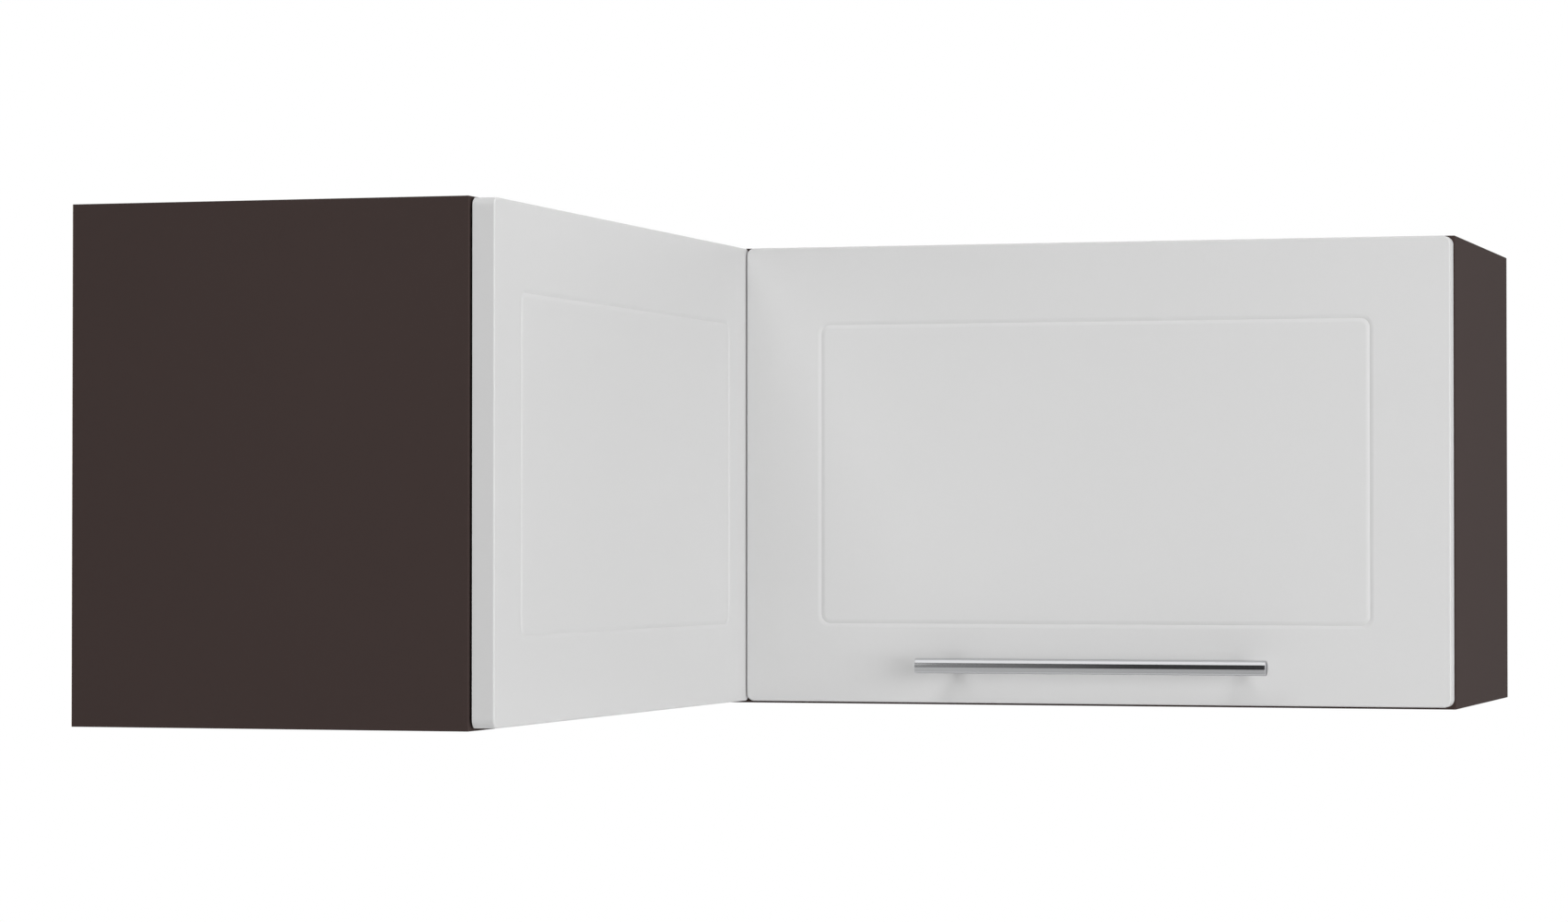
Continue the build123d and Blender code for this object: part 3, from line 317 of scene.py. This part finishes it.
LAMINATE_BROWN = (65, 55, 53)
LAMINATE_SKIN = 0.0003
CHIP_SIZE_MM = 2.6
CHIP_STRETCH = (0.45, 0.45, 1.0)
CHIP_COLOURS = ((150, 112, 74), (198, 164, 118), (226, 200, 158))

dark_laminate = finish(
    "dark_laminate_board", LAMINATE_BROWN, 0.45, 1300, 0.05, 0.02, Specular_IOR_Level=0.002
)
tree = dark_laminate.node_tree
board_shader = tree.nodes["Principled BSDF"]
where = tree.nodes.new("ShaderNodeTexCoord").outputs["Object"]
axes = tree.nodes.new("ShaderNodeSeparateXYZ")
tree.links.new(where, axes.inputs[0])
at_left_wall = join(tree, "ShaderNodeMath", "LESS_THAN", axes.outputs["X"], LAMINATE_SKIN)
at_back_wall = join(tree, "ShaderNodeMath", "GREATER_THAN", axes.outputs["Y"], -LAMINATE_SKIN)
sawn = join(tree, "ShaderNodeMath", "MAXIMUM", at_left_wall, at_back_wall)
chips = tree.nodes.new("ShaderNodeTexVoronoi")
chips.inputs["Scale"].default_value = 1000 / CHIP_SIZE_MM
chips.inputs["Randomness"].default_value = 1.0
flat_chips = join(tree, "ShaderNodeVectorMath", "MULTIPLY", where, CHIP_STRETCH)
tree.links.new(flat_chips, chips.inputs["Vector"])
chip_tone = tree.nodes.new("ShaderNodeValToRGB")
chip_tone.color_ramp.elements.new(0.5)
for stop, colour in zip(chip_tone.color_ramp.elements, CHIP_COLOURS):
    stop.color = (*srgb(*colour), 1)
tree.links.new(chips.outputs["Color"], chip_tone.inputs["Fac"])
face_or_core = tree.nodes.new("ShaderNodeMix")
face_or_core.data_type = "RGBA"
tree.links.new(sawn, face_or_core.inputs["Factor"])
tree.links.new(tree.nodes["tint"].outputs[0], face_or_core.inputs["A"])
tree.links.new(chip_tone.outputs["Color"], face_or_core.inputs["B"])
tree.links.new(face_or_core.outputs["Result"], board_shader.inputs["Base Color"])
coat(
    dark_laminate,
    "left_end_panel",
    "right_end_panel",
    "bottom_panel",
    "top_panel",
    "front_post_left",
    "front_post_right",
    "rear_post_left",
    "rear_post_right",
)

# --- Back panels ----------------------------------------------------------------------------------
# 3 mm hardboard pressed from wood fibre, lacquered brown on the inside, with bare fibre and the print of the
# press screen on the side that faces the wall. Both slide in grooves of the carcass.
SCREEN_PITCH_MM = 1.4
SCREEN_DEPTH_MM = 0.12
FACING_SHARE = 0.5
LACQUER_BROWN = (78, 66, 62)

hardboard = finish("hardboard_sheet", (138, 104, 74), 0.62, 650, 0.22, 0.03, Specular_IOR_Level=0.3)
tree = hardboard.node_tree
where = tree.nodes.new("ShaderNodeTexCoord").outputs["Object"]
axes = tree.nodes.new("ShaderNodeSeparateXYZ")
tree.links.new(where, axes.inputs[0])
turns = 2 * math.pi * 1000 / SCREEN_PITCH_MM
along_wall = join(tree, "ShaderNodeMath", "ADD", axes.outputs["X"], axes.outputs["Y"])
warp_turn = join(tree, "ShaderNodeMath", "MULTIPLY", along_wall, turns)
weft_turn = join(tree, "ShaderNodeMath", "MULTIPLY", axes.outputs["Z"], turns)
warp = join(tree, "ShaderNodeMath", "SINE", warp_turn)
weft = join(tree, "ShaderNodeMath", "SINE", weft_turn)
screen = join(tree, "ShaderNodeMath", "MULTIPLY", warp, weft)
facing = tree.nodes.new("ShaderNodeSeparateXYZ")
tree.links.new(tree.nodes.new("ShaderNodeNewGeometry").outputs["Normal"], facing.inputs[0])
to_back_wall = join(tree, "ShaderNodeMath", "GREATER_THAN", facing.outputs["Y"], FACING_SHARE)
to_left_wall = join(tree, "ShaderNodeMath", "LESS_THAN", facing.outputs["X"], -FACING_SHARE)
wall_side = join(tree, "ShaderNodeMath", "MAXIMUM", to_back_wall, to_left_wall)
fibre_or_lacquer = tree.nodes.new("ShaderNodeMix")
fibre_or_lacquer.data_type = "RGBA"
fibre_or_lacquer.inputs["A"].default_value = (*srgb(*LACQUER_BROWN), 1)
tree.links.new(wall_side, fibre_or_lacquer.inputs["Factor"])
tree.links.new(tree.nodes["tint"].outputs[0], fibre_or_lacquer.inputs["B"])
tree.links.new(fibre_or_lacquer.outputs["Result"], tree.nodes["Principled BSDF"].inputs["Base Color"])
print_height = join(tree, "ShaderNodeMath", "MULTIPLY", screen, wall_side)
print_relief = tree.nodes.new("ShaderNodeBump")
print_relief.inputs["Distance"].default_value = SCREEN_DEPTH_MM / 1000
tree.links.new(print_height, print_relief.inputs["Height"])
tree.links.new(tree.nodes["relief"].outputs["Normal"], print_relief.inputs["Normal"])
tree.links.new(print_relief.outputs["Normal"], tree.nodes["Principled BSDF"].inputs["Normal"])
coat(hardboard, "back_panel_left", "back_panel_right")

# --- Carcass fittings -----------------------------------------------------------------------------
# Fluted beech dowels place the boards, and cam bolts turned tight by zinc cams hold them. Moulded caps
# cover the cams inside. The posts' strips are screwed to each other.
beech = finish("beech_dowel", (205, 168, 122), 0.6, 900, 0.2, 0.03, stretch=(1, 1, 0.12))
coat(beech, "dowels")
plated_steel = finish("nickelled_steel", (190, 188, 181), 0.3, 1600, 0.16, 0.004, Metallic=0.78)
coat(plated_steel, "cam_bolts")
cast_zinc = finish("cast_zinc", (170, 172, 174), 0.42, 1100, 0.2, 0.02, Metallic=0.7)
coat(cast_zinc, "cam_locks")
cap_plastic = finish("cam_cap_plastic", (64, 53, 51), 0.45, 1500, 0.06, 0.01)
coat(cap_plastic, "cam_caps")

# The screw tree: on every point a pan-head screw with a cross recess, a tapered core and a rolled thread,
# turned to run along the point's drive direction. The head's outline gives radius and height from its seat to
# its top, and the recess's wings give length, width and depth, all as shares of the head's radius and height.
HEAD_SIDES = 28
HEAD_OUTLINE = ((1.0, 0.0), (1.0, 0.5), (0.93, 0.78), (0.76, 0.95), (0.6, 1.0))
HEAD_WELD = 0.00001
RECESS_WINGS = ((1.05, 0.26, 1.2), (0.26, 1.05, 1.1))
RECESS_MIDDLE = 1.05
CORE_SIDES = 12
CORE_SHARE = 0.74
NECK_SHARE = 0.92
THREAD_END_SHARE = 0.9
POINT_SHARE = 0.12
TIP_SHARE = 0.22
THREAD_PITCH_SHARE = 0.85
THREAD_STEPS = 14
SHARP_EDGE = 0.6

screw_tree = bpy.data.node_groups.new("pan_head_screws", "GeometryNodeTree")
screw_tree.is_modifier = True
sockets = screw_tree.interface
sockets.new_socket("Geometry", in_out="INPUT", socket_type="NodeSocketGeometry")
for label in ("Head radius", "Head height", "Shank radius", "Length"):
    sockets.new_socket(label, in_out="INPUT", socket_type="NodeSocketFloat")
sockets.new_socket("Finish", in_out="INPUT", socket_type="NodeSocketMaterial")
sockets.new_socket("Geometry", in_out="OUTPUT", socket_type="NodeSocketGeometry")
put = screw_tree.nodes.new("NodeGroupInput").outputs


def made_with(kind, **inputs):
    """A node of the screw tree with its inputs set or linked."""
    node = screw_tree.nodes.new(kind)
    for socket, value in inputs.items():
        target = node.inputs[socket.replace("_", " ")]
        if isinstance(value, (int, float, tuple)):
            target.default_value = value
        else:
            screw_tree.links.new(value, target)
    return node


def times(value, factor):
    """A size of the screw tree times a number or another size."""
    return join(screw_tree, "ShaderNodeMath", "MULTIPLY", value, factor)


def on_axis(height):
    """A place on the screw's own axis."""
    return made_with("ShaderNodeCombineXYZ", Z=height).outputs[0]


def ring(low_radius, high_radius, low, high):
    """An open ring of the turned head, between two heights measured from its seat towards its top."""
    cone = made_with(
        "GeometryNodeMeshCone",
        Vertices=HEAD_SIDES,
        Radius_Bottom=times(put["Head radius"], high_radius),
        Radius_Top=times(put["Head radius"], low_radius),
        Depth=times(put["Head height"], high - low),
    )
    cone.fill_type = "NONE"
    moved = made_with("GeometryNodeTransform", Geometry=cone.outputs["Mesh"])
    screw_tree.links.new(on_axis(times(put["Head height"], -high)), moved.inputs["Translation"])
    return moved.outputs[0]


def disc(radius, height, upside_down):
    """A flat round face of the turned head."""
    flat = made_with(
        "GeometryNodeMeshCircle", Vertices=HEAD_SIDES, Radius=times(put["Head radius"], radius)
    )
    flat.fill_type = "NGON"
    face = flat.outputs["Mesh"]
    if upside_down:
        face = made_with("GeometryNodeFlipFaces", Mesh=face).outputs[0]
    moved = made_with("GeometryNodeTransform", Geometry=face)
    screw_tree.links.new(on_axis(times(put["Head height"], -height)), moved.inputs["Translation"])
    return moved.outputs[0]


turned = screw_tree.nodes.new("GeometryNodeJoinGeometry")
head_parts = [disc(*HEAD_OUTLINE[0], False)]
for (low_radius, low), (high_radius, high) in zip(HEAD_OUTLINE, HEAD_OUTLINE[1:]):
    head_parts.append(ring(low_radius, high_radius, low, high))
head_parts.append(disc(*HEAD_OUTLINE[-1], True))
for part in head_parts:
    screw_tree.links.new(part, turned.inputs[0])
welded = made_with("GeometryNodeMergeByDistance", Geometry=turned.outputs[0], Distance=HEAD_WELD)
recess = screw_tree.nodes.new("GeometryNodeMeshBoolean")
recess.operation = "DIFFERENCE"
screw_tree.links.new(welded.outputs[0], recess.inputs["Mesh 1"])
for length, width, depth in RECESS_WINGS:
    size = made_with(
        "ShaderNodeCombineXYZ",
        X=times(put["Head radius"], length),
        Y=times(put["Head radius"], width),
        Z=times(put["Head height"], depth),
    )
    wing = made_with("GeometryNodeMeshCube", Size=size.outputs[0])
    sunk = made_with("GeometryNodeTransform", Geometry=wing.outputs["Mesh"])
    screw_tree.links.new(on_axis(times(put["Head height"], -RECESS_MIDDLE)), sunk.inputs["Translation"])
    screw_tree.links.new(sunk.outputs[0], recess.inputs["Mesh 2"])

core_radius = times(put["Shank radius"], CORE_SHARE)
neck_radius = times(core_radius, NECK_SHARE)
body_length = times(put["Length"], 1 - TIP_SHARE)
body = made_with(
    "GeometryNodeMeshCone",
    Vertices=CORE_SIDES,
    Radius_Bottom=core_radius,
    Radius_Top=neck_radius,
    Depth=body_length,
)
body.fill_type = "NGON"
tip = made_with(
    "GeometryNodeMeshCone",
    Vertices=CORE_SIDES,
    Radius_Bottom=neck_radius,
    Radius_Top=times(core_radius, POINT_SHARE),
    Depth=times(put["Length"], TIP_SHARE),
)
tip.fill_type = "NGON"
pointed = made_with("GeometryNodeTransform", Geometry=tip.outputs["Mesh"])
screw_tree.links.new(on_axis(body_length), pointed.inputs["Translation"])
pitch = times(put["Shank radius"], THREAD_PITCH_SHARE)
turn_count = join(screw_tree, "ShaderNodeMath", "DIVIDE", body_length, pitch)
helix = made_with(
    "GeometryNodeCurveSpiral",
    Resolution=THREAD_STEPS,
    Rotations=turn_count,
    Start_Radius=core_radius,
    End_Radius=times(core_radius, THREAD_END_SHARE),
    Height=body_length,
)
ridge = made_with(
    "GeometryNodeCurvePrimitiveCircle",
    Resolution=3,
    Radius=times(put["Shank radius"], 1 - CORE_SHARE),
)
thread = made_with("GeometryNodeCurveToMesh", Curve=helix.outputs[0], Profile_Curve=ridge.outputs["Curve"])
thread.inputs["Fill Caps"].default_value = True

whole = screw_tree.nodes.new("GeometryNodeJoinGeometry")
for part in (recess.outputs["Mesh"], body.outputs["Mesh"], pointed.outputs[0], thread.outputs[0]):
    screw_tree.links.new(part, whole.inputs[0])
smooth = made_with("GeometryNodeSetShadeSmooth", Geometry=whole.outputs[0])
corner = screw_tree.nodes.new("GeometryNodeInputMeshEdgeAngle").outputs["Unsigned Angle"]
crisp = made_with("GeometryNodeSetShadeSmooth", Geometry=smooth.outputs[0])
crisp.domain = "EDGE"
screw_tree.links.new(
    join(screw_tree, "ShaderNodeMath", "GREATER_THAN", corner, SHARP_EDGE), crisp.inputs["Selection"]
)
crisp.inputs["Shade Smooth"].default_value = False
drive = screw_tree.nodes.new("GeometryNodeInputNamedAttribute")
drive.data_type = "FLOAT_VECTOR"
drive.inputs["Name"].default_value = "drive"
aligned = screw_tree.nodes.new("FunctionNodeAlignRotationToVector")
aligned.axis = "Z"
screw_tree.links.new(drive.outputs["Attribute"], aligned.inputs["Vector"])
placed = made_with(
    "GeometryNodeInstanceOnPoints",
    Points=put["Geometry"],
    Instance=crisp.outputs[0],
    Rotation=aligned.outputs[0],
)
real = made_with("GeometryNodeRealizeInstances", Geometry=placed.outputs[0])
finished = made_with("GeometryNodeSetMaterial", Geometry=real.outputs[0], Material=put["Finish"])
screw_tree.links.new(finished.outputs[0], screw_tree.nodes.new("NodeGroupOutput").inputs["Geometry"])


# Distances in metres for reading the carried-over screws, and the share of a head's radius that is its rim.
SAME_POINT = 0.000002
SAME_HEIGHT = 0.0001
OFF_AXIS = 0.0005
RIM_SHARE = 0.95


def separate_solids(node):
    """The corners of each separate solid of a carried-over piece, as lists of points."""
    copy = bmesh.new()
    copy.from_mesh(nodes[node].data)
    bmesh.ops.remove_doubles(copy, verts=copy.verts, dist=SAME_POINT)
    waiting = set(copy.verts)
    solids = []
    while waiting:
        reached = [waiting.pop()]
        for vert in reached:
            for edge in vert.link_edges:
                other = edge.other_vert(vert)
                if other in waiting:
                    waiting.remove(other)
                    reached.append(other)
        solids.append([vert.co.copy() for vert in reached])
    copy.free()
    return sorted(solids, key=lambda points: tuple(min(p[i] for p in points) for i in range(3)))


def drive_screws(node, body, material):
    """Screws with recess and thread where the carried-over piece has plain ones, at their sizes."""
    seats, drives = [], []
    for points in separate_solids(node):
        low = Vector([min(p[i] for p in points) for i in range(3)])
        high = Vector([max(p[i] for p in points) for i in range(3)])
        long = max(range(3), key=lambda i: high[i] - low[i])
        middle = (low + high) / 2
        across = [i for i in range(3) if i != long]
        radius_at = [(math.hypot(*(p[i] - middle[i] for i in across)), p[long]) for p in points]
        head_radius = max(radius for radius, _ in radius_at)
        head = [height for radius, height in radius_at if radius > RIM_SHARE * head_radius]
        head_first = max(head) < middle[long]
        seat = max(head) if head_first else min(head)
        tip = high[long] if head_first else low[long]
        tip_radii = [radius for radius, height in radius_at if abs(height - tip) < SAME_HEIGHT]
        shank_radius = min(radius for radius in tip_radii if radius > OFF_AXIS)
        start = middle.copy()
        start[long] = seat
        way = Vector((0, 0, 0))
        way[long] = 1 if head_first else -1
        seats.append(start)
        drives.append(way)
    points_mesh = bpy.data.meshes.new(f"{node}_places")
    points_mesh.from_pydata(seats, [], [])
    attribute = points_mesh.attributes.new("drive", "FLOAT_VECTOR", "POINT")
    attribute.data.foreach_set("vector", [value for way in drives for value in way])
    carrier = bpy.data.objects.new(f"{node}_places", points_mesh)
    bpy.context.scene.collection.objects.link(carrier)
    modifier = carrier.modifiers.new("screws", "NODES")
    modifier.node_group = screw_tree
    values = {
        "Head radius": head_radius,
        "Head height": max(head) - min(head),
        "Shank radius": shank_radius,
        "Length": abs(tip - seat),
        "Finish": material,
    }
    for item in screw_tree.interface.items_tree:
        if item.in_out == "INPUT" and item.name in values:
            modifier[item.identifier] = values[item.name]
    evaluated = carrier.evaluated_get(bpy.context.evaluated_depsgraph_get())
    mesh = bpy.data.meshes.new_from_object(evaluated)
    carrier.modifiers.clear()
    bpy.data.objects.remove(carrier)
    piece = bpy.data.objects.new(f"{node}_driven", mesh)
    bpy.context.scene.collection.objects.link(piece)
    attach(piece, body)
    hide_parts(node)
    return piece


drive_screws("post_screws", "cabinet", plated_steel)

# --- Fronts ---------------------------------------------------------------------------------------
# 16 mm milled fibreboard under a satin white film that is drawn over the face, the edges and the frame
# groove in one piece. The flap turns, and the other front is fixed.
white_film = finish("white_film", (204, 204, 204), 0.4, 420, 0.012, 0.006, Specular_IOR_Level=0.3)
coat(white_film, "fixed_front", "flap")

# --- Fixed front's fixing -------------------------------------------------------------------------
# Pressed steel angle brackets are screwed to the carcass and the front from behind, and clear soft discs
# keep the front off the carcass edge. Two more discs quieten the flap.
coat(plated_steel, "fixed_front_brackets")
drive_screws("fixed_front_screws", "cabinet", plated_steel)
soft_clear = finish(
    "soft_clear_pad", (226, 226, 222), 0.38, 1300, 0.03, 0.01, Subsurface_Weight=0.3, Subsurface_Scale=0.002
)
coat(soft_clear, "fixed_front_spacers", "flap_bumpers")

# --- Handle ---------------------------------------------------------------------------------------
# A round steel bar polished along its length, carried by two turned posts that are screwed through the flap.
bar_steel = finish(
    "polished_steel_bar",
    (221, 222, 224),
    0.09,
    2600,
    0.1,
    0.0012,
    stretch=(0.01, 1, 1),
    Metallic=1.0,
    Specular_Tint=(0.5, 0.5, 0.51, 1),
)
coat(bar_steel, "handle_bar")
post_steel = finish(
    "turned_steel_post", (205, 206, 208), 0.2, 2600, 0.12, 0.002, stretch=(0.02, 1, 0.02), Metallic=1.0
)
coat(post_steel, "handle_post_left", "handle_post_right")
drive_screws("handle_screws", "flap", plated_steel)

# --- Hinges ---------------------------------------------------------------------------------------
# Two concealed hinges of nickelled steel: a pressed cup in the flap, a link, and an arm clipped to a
# mounting plate under the top panel, with riveted pins.
for hinge in ("hinge_left", "hinge_right"):
    coat(plated_steel, f"{hinge}_cup", f"{hinge}_link", f"{hinge}_arm")
pin_steel = finish("pin_steel", (180, 180, 178), 0.24, 2200, 0.1, 0.002, Metallic=0.82)
coat(pin_steel, "hinge_cup_pins", "hinge_arm_pins")
coat(cast_zinc, "hinge_left_plate", "hinge_right_plate")
drive_screws("hinge_cup_screws", "flap", plated_steel)
drive_screws("hinge_plate_screws", "cabinet", plated_steel)

# --- Gas strut ------------------------------------------------------------------------------------
# A grey stoved cylinder with a rubber seal, a hard chromed rod and moulded end sockets, held by a pressed
# bracket and pin on the end panel and by an ear bracket on the flap.
strut_enamel = finish("strut_enamel", (178, 180, 182), 0.34, 520, 0.03, 0.012, Coat_Weight=0.3)
coat(strut_enamel, "strut_cylinder")
chromed_rod = finish(
    "chromed_rod", (222, 222, 224), 0.06, 3000, 0.05, 0.0006, stretch=(1, 0.05, 0.05), Metallic=1.0
)
coat(chromed_rod, "strut_rod")
seal_rubber = finish("seal_rubber", (27, 27, 27), 0.62, 1200, 0.12, 0.01)
coat(seal_rubber, "strut_gland", "strut_piston")
black_plastic = finish("socket_plastic", (34, 34, 35), 0.42, 900, 0.1, 0.012)
coat(black_plastic, "strut_foot_socket", "strut_head_socket")
coat(plated_steel, "strut_side_bracket", "strut_flap_bracket")
coat(pin_steel, "strut_foot_pin")
drive_screws("strut_side_screws", "cabinet", plated_steel)
drive_screws("strut_flap_screws", "flap", plated_steel)

# --- Hangers --------------------------------------------------------------------------------------
# Four moulded housings are screwed inside the carcass. Each has a steel hook that two screws move, and the
# hooks hang in galvanised plates screwed to the wall.
white_plastic = finish("hanger_plastic", (231, 230, 224), 0.4, 700, 0.03, 0.012)
galvanised = finish("galvanised_plate", (172, 176, 180), 0.36, 160, 0.3, 0.004, Metallic=1.0)
for place in ("right_end", "rear_right", "rear_left", "left_end"):
    coat(white_plastic, f"hanger_{place}_housing")
    coat(plated_steel, f"hanger_{place}_hook")
coat(galvanised, "wall_plates")
drive_screws("hanger_screws", "cabinet", plated_steel)
drive_screws("hanger_adjusters", "cabinet", plated_steel)
